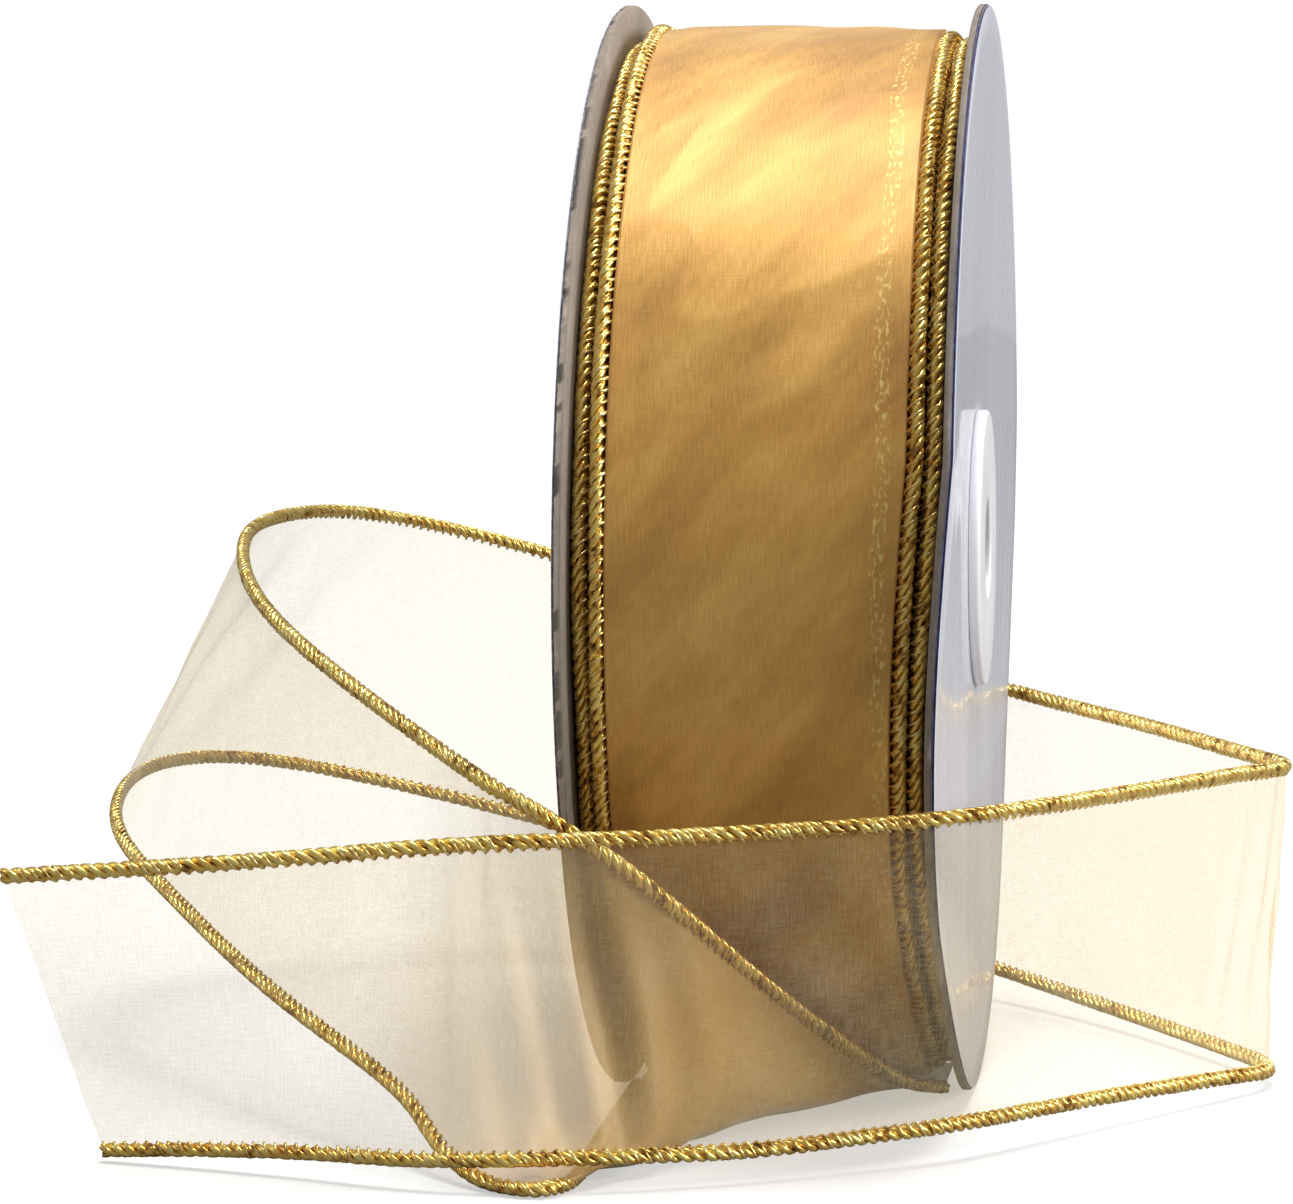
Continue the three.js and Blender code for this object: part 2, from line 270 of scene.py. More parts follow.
def evened(values, reach):
    """Running mean along the first axis, twice, with both ends kept."""
    for _ in range(2):
        padded = np.concatenate([[values[0]] * reach, values, [values[-1]] * reach])
        total = np.cumsum(np.concatenate([[np.zeros_like(values[0])], padded]), axis=0)
        mean = (total[2 * reach + 1:] - total[:-2 * reach - 1]) / (2 * reach + 1)
        fade = np.minimum(1, np.minimum(np.arange(len(values)), np.arange(len(values))[::-1]) / reach)
        values = values + (mean - values) * fade.reshape(-1, *[1] * (values.ndim - 1))
    return values


stations = [station_points(s) for s in ROUTE]
LINE_SOFTNESS = 7
width_lines = evened(np.stack([smooth_line([s[k] for s in stations], ROUTE_STEPS)
                               for k in range(6)], axis=1), LINE_SOFTNESS)
width_lines[:, :, 2] = np.maximum(width_lines[:, :, 2], CORD_LOWEST)
top_line, bottom_line = width_lines[:, 0], width_lines[:, 5]


def towards_web(line, inner):
    """At each point of a cord's line, the direction across the ribbon into its web."""
    tangent = np.gradient(line, axis=0)
    tangent /= np.linalg.norm(tangent, axis=1)[:, None]
    side = inner - line
    side -= tangent * (side * tangent).sum(axis=1)[:, None]
    side = evened(side / np.linalg.norm(side, axis=1)[:, None], LINE_SOFTNESS)
    return side / np.linalg.norm(side, axis=1)[:, None]


def calc(tree, operation, *values):
    node = add_node(tree, "ShaderNodeMath", dict(enumerate(values)), operation=operation)
    return node.outputs[0]


def vector_calc(tree, operation, *values, scale=None):
    inputs = dict(enumerate(values))
    if scale is not None:
        inputs["Scale"] = scale
    return add_node(tree, "ShaderNodeVectorMath", inputs, operation=operation).outputs[0]


def new_tree(name, inputs):
    """A Geometry Nodes tree with a geometry input and named inputs; returns it and its input node."""
    tree = bpy.data.node_groups.new(name, "GeometryNodeTree")
    tree.interface.new_socket("Geometry", in_out="INPUT", socket_type="NodeSocketGeometry")
    for label, kind in inputs:
        tree.interface.new_socket(label, in_out="INPUT", socket_type=f"NodeSocket{kind}")
    tree.interface.new_socket("Geometry", in_out="OUTPUT", socket_type="NodeSocketGeometry")
    return tree, tree.nodes.new("NodeGroupInput").outputs


def laid_threads_tree():
    """Lays Count threads round a path as helices of one Pitch. Reach pulls each turn out towards the
    web, as an overlock stitch does, and Unevenness varies the radius."""
    names = [("Count", "Int"), ("Radius", "Float"), ("Pitch", "Float"), ("Reach", "Float"),
             ("Thread", "Float"), ("Sides", "Int"), ("Step", "Float"), ("Unevenness", "Float"),
             ("Seed", "Float"), ("Material", "Material")]
    tree, given = new_tree("laid_threads", names)
    line = add_node(tree, "GeometryNodeMeshToCurve", {"Mesh": given["Geometry"]})
    line = add_node(tree, "GeometryNodeResampleCurve", {"Curve": line.outputs[0],
                                                        "Length": given["Step"]}, mode="LENGTH")
    copies = add_node(tree, "GeometryNodeDuplicateElements",
                      {"Geometry": line.outputs[0], "Amount": given["Count"]}, domain="SPLINE")
    run = add_node(tree, "GeometryNodeSplineParameter").outputs["Length"]
    turns = calc(tree, "ADD", calc(tree, "DIVIDE", run, given["Pitch"]),
                 calc(tree, "DIVIDE", copies.outputs["Duplicate Index"], given["Count"]))
    angle = calc(tree, "MULTIPLY", turns, 2 * math.pi)
    cosine, sine = calc(tree, "COSINE", angle), calc(tree, "SINE", angle)
    spot = add_node(tree, "GeometryNodeInputPosition").outputs[0]
    jitter = add_node(tree, "ShaderNodeTexNoise", {"Vector": spot, "W": given["Seed"],
                                                   "Scale": 900.0, "Detail": 1.0},
                      noise_dimensions="4D").outputs["Fac"]
    jitter = calc(tree, "MULTIPLY", calc(tree, "SUBTRACT", jitter, 0.5), given["Unevenness"])
    loop = calc(tree, "POWER", calc(tree, "MAXIMUM", cosine, 0.0), 3.0)
    radius = calc(tree, "ADD", calc(tree, "MULTIPLY", given["Radius"], calc(tree, "ADD", jitter, 1.0)),
                  calc(tree, "MULTIPLY", loop, given["Reach"]))
    side = add_node(tree, "GeometryNodeInputNamedAttribute", {"Name": "web_side"},
                    data_type="FLOAT_VECTOR").outputs["Attribute"]
    tangent = add_node(tree, "GeometryNodeInputTangent").outputs[0]
    up = vector_calc(tree, "NORMALIZE", vector_calc(tree, "CROSS_PRODUCT", tangent, side))
    out = vector_calc(tree, "NORMALIZE", vector_calc(tree, "CROSS_PRODUCT", up, tangent))
    offset = vector_calc(
        tree, "ADD", vector_calc(tree, "SCALE", out, scale=calc(tree, "MULTIPLY", cosine, radius)),
        vector_calc(tree, "SCALE", up, scale=calc(tree, "MULTIPLY", sine, given["Radius"])))
    laid = add_node(tree, "GeometryNodeSetPosition", {"Geometry": copies.outputs["Geometry"],
                                                      "Offset": offset})
    ring = add_node(tree, "GeometryNodeCurvePrimitiveCircle", {"Resolution": given["Sides"],
                                                               "Radius": given["Thread"]})
    solid = add_node(tree, "GeometryNodeCurveToMesh", {
        "Curve": laid.outputs[0], "Profile Curve": ring.outputs[0], "Fill Caps": True})
    real = add_node(tree, "GeometryNodeRealizeInstances", {"Geometry": solid.outputs[0]})
    finish = add_node(tree, "GeometryNodeSetMaterial", {"Geometry": real.outputs[0],
                                                        "Material": given["Material"]})
    add_node(tree, "NodeGroupOutput", {0: finish.outputs[0]})
    return tree


def lay_threads(path, into_web, **inputs):
    """Runs the tree on one path and returns the result as a plain mesh."""
    mesh = bpy.data.meshes.new("path")
    mesh.from_pydata(path.tolist(), [(i, i + 1) for i in range(len(path) - 1)], [])
    attribute = mesh.attributes.new("web_side", "FLOAT_VECTOR", "POINT")
    attribute.data.foreach_set("vector", into_web.astype(np.float32).ravel())
    carrier = show(bpy.data.objects.new("path", mesh))
    modifier = carrier.modifiers.new("threads", "NODES")
    modifier.node_group = laid_threads
    for item in laid_threads.interface.items_tree:
        label = item.name.lower()
        if item.in_out == "INPUT" and label in inputs:
            modifier[item.identifier] = inputs[label]
    ready = carrier.evaluated_get(bpy.context.evaluated_depsgraph_get())
    result = bpy.data.meshes.new_from_object(ready)
    bpy.data.objects.remove(carrier)
    bpy.data.meshes.remove(mesh)
    return result


def joined(name, meshes):
    """One smooth mesh object of several meshes, with their materials and UV kept."""
    parts = [show(bpy.data.objects.new(name, mesh)) for mesh in meshes]
    with bpy.context.temp_override(active_object=parts[0], selected_editable_objects=parts):
        if len(parts) > 1:
            bpy.ops.object.join()
    piece = parts[0]
    piece.name = name
    piece.data.name = name
    piece.data.polygons.foreach_set("use_smooth", [True] * len(piece.data.polygons))
    return piece


def gold_thread(name, bright, deep, dark):
    """Flat metallic thread, its colour painted with bright highlights and brown shade at random spots.
    """
    material, tree, shader = new_material(name)
    place = add_node(tree, "ShaderNodeTexCoord").outputs["Object"]
    facets = noise_of(tree, place, 1100.0, 1)
    sheen_patches = noise_of(tree, place, 420.0, 2)
    # This mix picks each spot's colour between painted shade, gold and painted highlight.
    shade = calc(tree, "ADD", calc(tree, "MULTIPLY", facets, 0.5), calc(tree, "MULTIPLY", sheen_patches, 0.5))
    tree.links.new(colour_ramp(tree, shade, [(0.36, dark), (0.45, deep), (0.56, bright)]),
                   shader.inputs["Base Color"])
    tree.links.new(calc(tree, "MULTIPLY_ADD", sheen_patches, 0.3, 0.1), shader.inputs["Roughness"])
    shader.inputs["Metallic"].default_value = 0.7
    bumped(tree, shader, facets, 0.6, 0.0002)
    return material


laid_threads = laid_threads_tree()
# Each thread's three colours are its painted highlight, its gold and its painted shade.
bright_gold = gold_thread("gold_thread", (1.0, 0.76, 0.22), (0.90, 0.55, 0.12), (0.36, 0.19, 0.04))
stitch_gold = gold_thread("stitch_thread", (1.0, 0.82, 0.36), (0.95, 0.66, 0.20), (0.45, 0.26, 0.06))
ply_sizes = {"count": 3, "radius": 0.46 * MM, "pitch": 4.4 * MM, "reach": 0.0, "thread": 0.38 * MM,
             "sides": 7, "step": 0.36 * MM, "unevenness": 0.3, "material": bright_gold}
stitch_sizes = {"count": 2, "radius": 0.63 * MM, "pitch": 2.6 * MM, "reach": 0.34 * MM,
                "thread": 0.19 * MM, "sides": 5, "step": 0.22 * MM, "unevenness": 0.5,
                "material": stitch_gold}

for edge, line, inner, seed in (("top", top_line, width_lines[:, 1], 1.7),
                                ("bottom", bottom_line, width_lines[:, 4], 6.3)):
    into_web = towards_web(line, inner)
    cord = joined(f"free_{edge}_edge", [lay_threads(line, into_web, seed=seed, **ply_sizes),
                                        lay_threads(line, into_web, seed=seed, **stitch_sizes)])
    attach(cord, "free_ribbon")
    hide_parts(f"free_{edge}_cord", f"free_{edge}_wire")
    run = float(np.linalg.norm(np.diff(line, axis=0), axis=1).sum())


# ---- Free web --------------------------------------------------------------------------------------
# Sheer woven organza, stitched to both cords. It is gathered where it leaves the roll, turns over on
# the floor, loops round behind, is creased at the right and is cut at a slant at its free end.
WEB_COLUMNS = 36
WEB_LOWEST = 0.35 * MM
LOOSENESS = 0.55 * MM


def spread_across(points, columns):
    """Points evenly spaced across one width of the ribbon, from its six given ones."""
    run = np.concatenate([[0], np.cumsum(np.linalg.norm(np.diff(points, axis=0), axis=1))])
    wanted = np.linspace(0, run[-1], columns)
    return np.stack([np.interp(wanted, run, points[:, axis]) for axis in range(3)], axis=1)


def relaxed(grid, rounds):
    """Softens the inside of a grid of points and leaves its border where it is."""
    for _ in range(rounds):
        mean = (grid[:-2, 1:-1] + grid[2:, 1:-1] + grid[1:-1, :-2] + grid[1:-1, 2:]) / 4
        grid[1:-1, 1:-1] += 0.7 * (mean - grid[1:-1, 1:-1])
    return grid


def grid_normals(grid):
    normal = np.cross(np.gradient(grid, axis=0), np.gradient(grid, axis=1))
    return normal / np.maximum(np.linalg.norm(normal, axis=2)[:, :, None], 1e-12)


# Pleats: station where they are deepest, spread and wavelength along the ribbon, depth, slant across it
PLEATS = [
    (5.2, 16 * MM, 9 * MM, 0.9 * MM, 0.5),
    (12.4, 26 * MM, 17 * MM, 0.6 * MM, 0.7),
    (13.2, 12 * MM, 9 * MM, 0.2 * MM, -0.6),
    (19.4, 12 * MM, 6.5 * MM, 0.55 * MM, 0.15),
    (20.7, 9 * MM, 5 * MM, 0.4 * MM, -0.2),
    (23.5, 22 * MM, 15 * MM, 0.4 * MM, 0.8),
]

web_grid = relaxed(np.stack([spread_across(row, WEB_COLUMNS) for row in width_lines]), 12)
UNDER_REACH = 17 * MM  # cloth that lies under the roll, where the last turn leaves it
UNDER_ROWS = 24
back = np.linspace(UNDER_REACH, 0, UNDER_ROWS, endpoint=False)[:, None, None]
back = back * np.array([0.0, 1.0, 0.0])
web_grid = np.concatenate([web_grid[:1] + back, web_grid])
middle_steps = np.diff(web_grid[:, WEB_COLUMNS // 2], axis=0)
along_run = np.concatenate([[0], np.cumsum(np.linalg.norm(middle_steps, axis=1))])
across_run = np.linspace(0, 1, WEB_COLUMNS)
station_of_row = np.concatenate([np.zeros(UNDER_ROWS), np.linspace(0, len(ROUTE) - 1, ROUTE_STEPS)])
ripple = np.zeros(web_grid.shape[:2])
width = np.linalg.norm(web_grid[0, -1] - web_grid[0, 0])
held_by_cords = np.sin(np.pi * across_run)[None, :] ** 0.6
held_under_roll = np.clip((along_run - UNDER_REACH) / (12 * MM), 0, 1)[:, None]
for station, spread, wavelength, depth, slant in PLEATS:
    centre = np.interp(station, station_of_row, along_run)
    run = along_run[:, None] - centre + slant * width * (across_run[None, :] - 0.5)
    ripple += depth * np.exp(-(run / spread) ** 2) * np.cos(2 * np.pi * run / wavelength)
ripple_noise = np.array([[noise.noise((s * 60, u * 2.2, 3.1)) + 0.5 * noise.noise((s * 150, u * 4, 7.7))
                          for u in across_run] for s in along_run])
ripple = (ripple + LOOSENESS * ripple_noise) * held_by_cords * held_under_roll
web_grid += grid_normals(web_grid) * ripple[:, :, None]
web_grid[:, :, 2] = np.maximum(web_grid[:, :, 2], WEB_LOWEST)


def cloth_grid(name, grid, across, along):
    """A mesh of quads over a grid of points, with a UV map in metres: runs across and along it."""
    rows, columns = grid.shape[:2]
    faces = [(r * columns + c, r * columns + c + 1, (r + 1) * columns + c + 1, (r + 1) * columns + c)
             for r in range(rows - 1) for c in range(columns - 1)]
    mesh = bpy.data.meshes.new(name)
    mesh.from_pydata(grid.reshape(-1, 3).tolist(), [], faces)
    uv = np.stack(np.broadcast_arrays(across[None, :], along[:, None]), axis=2).reshape(-1, 2)
    corner = np.empty(len(mesh.loops), int)
    mesh.loops.foreach_get("vertex_index", corner)
    layer = mesh.uv_layers.new(name="cloth")
    layer.data.foreach_set("uv", uv[corner].astype(np.float32).ravel())
    return mesh


GATHERED_SHADED_RUN = 68 * MM  # the first part of the ribbon, in gathers of layers where it turns over; its darker brown is partly painted shade under the roll
GATHERED_SHADED_FADE = 45 * MM


def sheer_cloth():
    """Organza: fine threads with air between them. Light that passes is tinted, and the cloth is more
    golden where it is seen along its surface. Its first stretch, in gathers of several layers, is more
    opaque and painted darker brown: partly its layers, partly painted shade from the roll above it."""
    material, tree, shader = new_material("sheer_organza")
    cloth = add_node(tree, "ShaderNodeUVMap", uv_map="cloth").outputs["UV"]
    weft = noise_of(tree, stretched(tree, cloth, (5200, 420, 1)), 1.0, 2)
    warp = noise_of(tree, stretched(tree, cloth, (420, 4600, 1)), 1.0, 2)
    threads = calc(tree, "MULTIPLY", calc(tree, "ADD", weft, warp), 0.5)
    clouds = noise_of(tree, cloth, 70.0, 3)
    run = add_node(tree, "ShaderNodeSeparateXYZ", {"Vector": cloth}).outputs["Y"]
    gathered_and_shaded = add_node(tree, "ShaderNodeMapRange", {
        "Value": run, "From Min": GATHERED_SHADED_RUN + GATHERED_SHADED_FADE, "From Max": GATHERED_SHADED_RUN}).outputs[0]
    graze = add_node(tree, "ShaderNodeLayerWeight", {"Blend": 0.5}).outputs["Facing"]
    cover = calc(tree, "MULTIPLY_ADD", calc(tree, "POWER", graze, 2.6), 0.28, 0.15)
    cover = calc(tree, "ADD", cover, calc(tree, "MULTIPLY", calc(tree, "SUBTRACT", threads, 0.5), 0.5))
    cover = calc(tree, "ADD", cover, calc(tree, "MULTIPLY", calc(tree, "SUBTRACT", clouds, 0.5), 0.12))
    # The first stretch is made more opaque and darker brown: its layers of gathers, and painted shade
    # under the roll.
    cover = calc(tree, "MULTIPLY_ADD", gathered_and_shaded, 0.62, cover)
    cover = add_node(tree, "ShaderNodeClamp", {"Value": cover, "Min": 0.05, "Max": 0.9}).outputs[0]
    single = colour_ramp(tree, clouds, [(0.3, (0.97, 0.76, 0.42)), (0.7, (1.0, 0.86, 0.57))])
    paint = add_node(tree, "ShaderNodeMix", {0: gathered_and_shaded, 6: single, 7: (0.62, 0.38, 0.12, 1)},
                     data_type="RGBA").outputs[2]
    tree.links.new(paint, shader.inputs["Base Color"])
    shader.inputs["Roughness"].default_value = 0.42
    shader.inputs["Sheen Weight"].default_value = 0.35
    shader.inputs["Sheen Roughness"].default_value = 0.4
    bumped(tree, shader, threads, 0.25, 0.0001)
    passed = add_node(tree, "ShaderNodeBsdfTransparent", {"Color": (1.0, 0.968, 0.9, 1)})
    sheer = add_node(tree, "ShaderNodeMixShader", {0: cover, 1: passed.outputs[0],
                                                   2: shader.outputs[0]})
    output = next(node for node in tree.nodes if node.type == "OUTPUT_MATERIAL")
    tree.links.new(sheer.outputs[0], output.inputs["Surface"])
    return material


cloth_mesh = cloth_grid("free_web_cloth", web_grid, across_run * width, along_run)
cloth_mesh.materials.append(sheer_cloth())
web = joined("free_web_cloth", [cloth_mesh])
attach(web, "free_ribbon")
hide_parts("free_web")


# ---- Core tube and starting tape -------------------------------------------------------------------
# A wound paperboard tube, with a strip of clear tape that holds the inner end of the ribbon on it.
# Both are inside the spool and show only through the hub bores.
def chipboard(name, light, dark):
    """Grey recycled board: fibres and specks on its face, layers on its cut edge."""
    material, tree, shader = new_material(name)
    place = add_node(tree, "ShaderNodeTexCoord").outputs["Object"]
    layers = noise_of(tree, stretched(tree, place, (5200, 90, 90)), 1.0, 2)
    fibres = noise_of(tree, place, 900.0, 4, 0.65)
    stains = noise_of(tree, place, 45.0, 3)
    tone = calc(tree, "ADD", calc(tree, "MULTIPLY", layers, 0.35),
                calc(tree, "ADD", calc(tree, "MULTIPLY", fibres, 0.35),
                     calc(tree, "MULTIPLY", stains, 0.3)))
    tree.links.new(colour_ramp(tree, tone, [(0.36, dark), (0.62, light)]), shader.inputs["Base Color"])
    shader.inputs["Roughness"].default_value = 0.85
    bumped(tree, shader, fibres, 0.4, 0.0002)
    return material


def repaint(node, material):
    """Gives a CAD node's object that one material."""
    node.data.materials.clear()
    node.data.materials.append(material)


def clear_tape():
    material, tree, shader = new_material("clear_tape")
    place = add_node(tree, "ShaderNodeTexCoord").outputs["Object"]
    glue = noise_of(tree, place, 400.0, 3)
    tree.links.new(colour_ramp(tree, glue, [(0.3, (0.80, 0.74, 0.58)), (0.7, (0.90, 0.87, 0.78))]),
                   shader.inputs["Base Color"])
    shader.inputs["Roughness"].default_value = 0.18
    bumped(tree, shader, glue, 0.15, 0.0001)
    return material


core_board = chipboard("core_board", (0.50, 0.42, 0.32), (0.34, 0.27, 0.20))
repaint(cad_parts["core_tube"], core_board)
repaint(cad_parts["start_tape"], clear_tape())


# ---- Wound edge cords ------------------------------------------------------------------------------
# The edge cords of the wound ribbon lie turn on turn. The turns wander sideways by the play between
# the flanges, so two columns of cord show at each end. Dish and bow shape the flanges beside them.
AXLE = Vector((0, 0, 63.5 * MM))
WOUND_RADIUS = 62 * MM
TURNS_SHOWN = 3
TURN_STEP = 1.25 * MM
TURN_POINTS = 360
FLANGE_RADIUS = 63.5 * MM
FLANGE_DISH = 1.3 * MM
CORE_RADIUS = 17 * MM


def dish_at(y, z):
    """How far in towards the roll the hubs pull each flange at a place on it."""
    radius = np.hypot(y, z - AXLE.z)
    return FLANGE_DISH * np.clip((FLANGE_RADIUS - radius) / (FLANGE_RADIUS - CORE_RADIUS), 0, 1)


def bow(y, z):
    """How far the right flange is bent in towards the roll: a bend in the near part, below the hub's
    upper rim, a slighter one in the far part, and a lean of its lower half."""
    depth = np.sin(np.pi * np.clip((77 * MM - z) / (76 * MM), 0, 1))
    near = np.clip((-y - 18 * MM) / (32 * MM), 0, 1)
    far = np.clip((y - 26 * MM) / (30 * MM), 0, 1)
    lean = np.clip(1 - z / AXLE.z, 0, 1)
    return -depth * (1.75 * MM * near + 0.5 * MM * far) - 0.8 * MM * lean


def turned(radius, angle):
    """Y and Z at an angle round the axle, from the bottom and up over the front."""
    return -radius * np.sin(angle), AXLE.z - radius * np.cos(angle)


def wound_line(x, start_angle, top_radius, wander, seed):
    """The last turns of a wound cord as one spiral, from inside out."""
    count = TURN_POINTS * TURNS_SHOWN
    angle = np.linspace(0, 2 * math.pi * TURNS_SHOWN, count)
    radius = top_radius - TURN_STEP * (TURNS_SHOWN - angle / (2 * math.pi))
    y, z = turned(radius, angle + start_angle)
    drift = np.array([noise.noise((3 * math.cos(t), 3 * math.sin(t), seed + t / 9)) for t in angle])
    return np.stack([x + wander * drift, y, z], axis=1)


def dark_stack():
    """The sides of the stacked turns below the last ones: painted dark shade between the cords, with
    painted gold glints.
    """
    material, tree, shader = new_material("stacked_cord")
    place = add_node(tree, "ShaderNodeTexCoord").outputs["Object"]
    painted_glints = add_node(tree, "ShaderNodeTexVoronoi", {"Vector": place,
                                                     "Scale": 900.0}).outputs["Distance"]
    # Gold at the cell centres is painted glint; the brown to near-black round them is painted shade
    # between the cords.
    tree.links.new(colour_ramp(tree, painted_glints, [(0.12, (0.9, 0.66, 0.2)), (0.3, (0.2, 0.12, 0.03)),
                                              (0.7, (0.07, 0.04, 0.01))]), shader.inputs["Base Color"])
    shader.inputs["Metallic"].default_value = 0.6
    shader.inputs["Roughness"].default_value = 0.35
    bumped(tree, shader, painted_glints, 0.8, 0.0004)
    return material


def ring_points(outline, segments):
    """Grid of points of an outline of (x, radius) turned about the axle."""
    angle = np.linspace(0, 2 * math.pi, segments, endpoint=False)
    x, radius = (np.array(column)[:, None] for column in zip(*outline))
    y, z = turned(radius, angle[None, :])
    return np.stack([np.broadcast_to(x, y.shape), y, z], axis=2)


def ring_mesh(name, grid):
    """Closed mesh over a grid that closes on itself both ways, with its faces out."""
    rows, columns = grid.shape[:2]
    faces = [(r * columns + c, r * columns + (c + 1) % columns,
              (r + 1) % rows * columns + (c + 1) % columns, (r + 1) % rows * columns + c)
             for r in range(rows) for c in range(columns)]
    mesh = bpy.data.meshes.new(name)
    mesh.from_pydata(grid.reshape(-1, 3).tolist(), [], faces)
    return mesh


stack_shade_paint = dark_stack()
wound_ply_sizes = {**ply_sizes, "sides": 5, "step": 0.5 * MM}
wound_stitch_sizes = {**stitch_sizes, "sides": 4, "step": 0.42 * MM, "reach": 0.5 * MM}
STACK_SEGMENTS = 180
CORE_REACH = 17.4 * MM
# How far the last turn of each column lies below the fullest one
DROPS = {("left", "outer"): 2.0 * MM, ("left", "inner"): 0, ("right", "outer"): 1.6 * MM,
         ("right", "inner"): 0.9 * MM}
for side, sign in (("right", 1), ("left", -1)):
    for column, x, seed in (("outer", 19.05, 2.4), ("inner", 17.05, 8.9)):
        name = f"{side}_{column}_cord_wraps"
        top = WOUND_RADIUS - CORD_RADIUS - DROPS[side, column]
        line = wound_line(sign * x * MM, 0.2, top, 0.25 * MM, seed + sign)
        if side == "right":
            line[:, 0] += bow(line[:, 1], line[:, 2])
        inward = np.tile((-sign, 0.0, 0.0), (len(line), 1))
        low, high = x * MM - CORD_RADIUS, x * MM + CORD_RADIUS
        under = top - TURN_STEP * TURNS_SHOWN + 0.3 * MM
        outline = [(sign * low, CORE_REACH), (sign * low, under), (sign * high, under),
                   (sign * high, CORE_REACH)]
        ring = ring_points(outline if sign > 0 else outline[::-1], STACK_SEGMENTS)
        ring[:, :, 0] -= sign * dish_at(ring[:, :, 1], ring[:, :, 2])
        if side == "right":
            shallow = np.hypot(ring[:, :, 1], ring[:, :, 2] - AXLE.z) / WOUND_RADIUS
            ring[:, :, 0] += bow(ring[:, :, 1], ring[:, :, 2]) * shallow ** 3
        stack = ring_mesh("stack", ring)
        stack.materials.append(stack_shade_paint)
        wraps = joined(name + "_gold", [
            lay_threads(line, inward, seed=seed, **wound_ply_sizes),
            lay_threads(line, inward, seed=seed, **wound_stitch_sizes), stack])
        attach(wraps, "spool")
        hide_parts(name)


# ---- Wound web -------------------------------------------------------------------------------------
# About forty turns of the same organza. So many layers are no longer sheer: they shine like satin, with
# slack folds that run slantwise, and cords of lower turns showing through near the right edge. Slanting
# satin streaks are painted into the colour as painted highlight and shade, and the buried cords as
# painted glints.
WEB_HALF = 16.1 * MM
WEB_RADIUS = 60.6 * MM
ROLL_ROWS = 120
ROLL_SEGMENTS = 720
SEAM_ANGLE = 0.5
FOLD_SLANT = math.radians(52)
LAST_TURN_SLACK = 1.3 * MM
SLACK_WHERE, SLACK_SPREAD = 0.12, 0.3


def slack(x, angle):
    """Height of the roll's slack folds, which run up its front to the right, at a place on it."""
    right, up = x / MM, angle * WOUND_RADIUS / MM
    along = right * math.cos(FOLD_SLANT) + up * math.sin(FOLD_SLANT)
    over = up * math.cos(FOLD_SLANT) - right * math.sin(FOLD_SLANT)
    over += 5 * noise.noise((right / 22, up / 26, 4.4))
    broad = noise.noise((over / 15, along / 42, 1.3))
    ridge = 0.5 - abs(noise.noise((over / 10, along / 34, 5.9)))
    fine = noise.noise((over / 3.4, along / 13, 9.2))
    return (0.55 * broad + 0.5 * ridge + 0.07 * fine) * MM


def satin_roll():
    """Layered organza: a fine weave, moire with painted satin highlights and shade, and flecks of
    buried cord painted as glints.
    """
    material, tree, shader = new_material("layered_organza")
    place = add_node(tree, "ShaderNodeTexCoord").outputs["Object"]
    split = add_node(tree, "ShaderNodeSeparateXYZ", {"Vector": place}).outputs
    spin = calc(tree, "ARCTAN2", split["Y"], calc(tree, "SUBTRACT", split["Z"], AXLE.z))
    round_run = calc(tree, "MULTIPLY", spin, WOUND_RADIUS)
    cloth = add_node(tree, "ShaderNodeCombineXYZ", {"X": split["X"], "Y": round_run}).outputs[0]
    weft = noise_of(tree, stretched(tree, cloth, (4600, 420, 1)), 1.0, 2)
    warp = noise_of(tree, stretched(tree, cloth, (380, 4200, 1), (0, 0, 0.04)), 1.0, 2)
    threads = calc(tree, "ADD", calc(tree, "MULTIPLY", weft, 0.72), calc(tree, "MULTIPLY", warp, 0.28))
    slanted = stretched(tree, cloth, (1, 1, 1), (0, 0, -FOLD_SLANT))
    # Slanted streaks along the folds: moire, with painted satin highlights and painted shade.
    moire_and_sheen = noise_of(tree, stretched(tree, slanted, (26, 75, 1)), 1.0, 4, 0.6)
    tone = calc(tree, "ADD", calc(tree, "MULTIPLY", moire_and_sheen, 0.75), calc(tree, "MULTIPLY", threads, 0.25))
    # The ramp runs from painted shade through the roll's gold to painted highlight.
    ground = colour_ramp(tree, tone, [(0.34, (0.48, 0.23, 0.045)), (0.5, (0.70, 0.37, 0.078)),
                                      (0.66, (0.92, 0.56, 0.15))])
    wander = noise_of(tree, stretched(tree, cloth, (1, 40, 1)), 1.0, 1)
    near_band = calc(tree, "ABSOLUTE", calc(tree, "SUBTRACT", split["X"],
                                            calc(tree, "MULTIPLY_ADD", wander, 0.003, 0.0118)))
    band = calc(tree, "LESS_THAN", near_band, 0.0008)
    # Flecks of buried cord near the right edge: partly the cords' own gold, partly painted glints.
    painted_glints = noise_of(tree, stretched(tree, cloth, (2600, 1100, 1)), 1.0, 1)
    fleck = calc(tree, "MULTIPLY", band, add_node(tree, "ShaderNodeMapRange", {
        "Value": painted_glints, "From Min": 0.52, "From Max": 0.66}).outputs[0])
    paint = add_node(tree, "ShaderNodeMix", {0: calc(tree, "MULTIPLY", fleck, 0.6), 6: ground,
                                             7: (1.0, 0.80, 0.25, 1)}, data_type="RGBA").outputs[2]
    tree.links.new(paint, shader.inputs["Base Color"])
    shader.inputs["Metallic"].default_value = 0.28
    tree.links.new(calc(tree, "MULTIPLY_ADD", threads, 0.3, 0.32), shader.inputs["Roughness"])
    shader.inputs["Sheen Weight"].default_value = 0.2
    bumped(tree, shader, threads, 0.2, 0.0002)
    return material


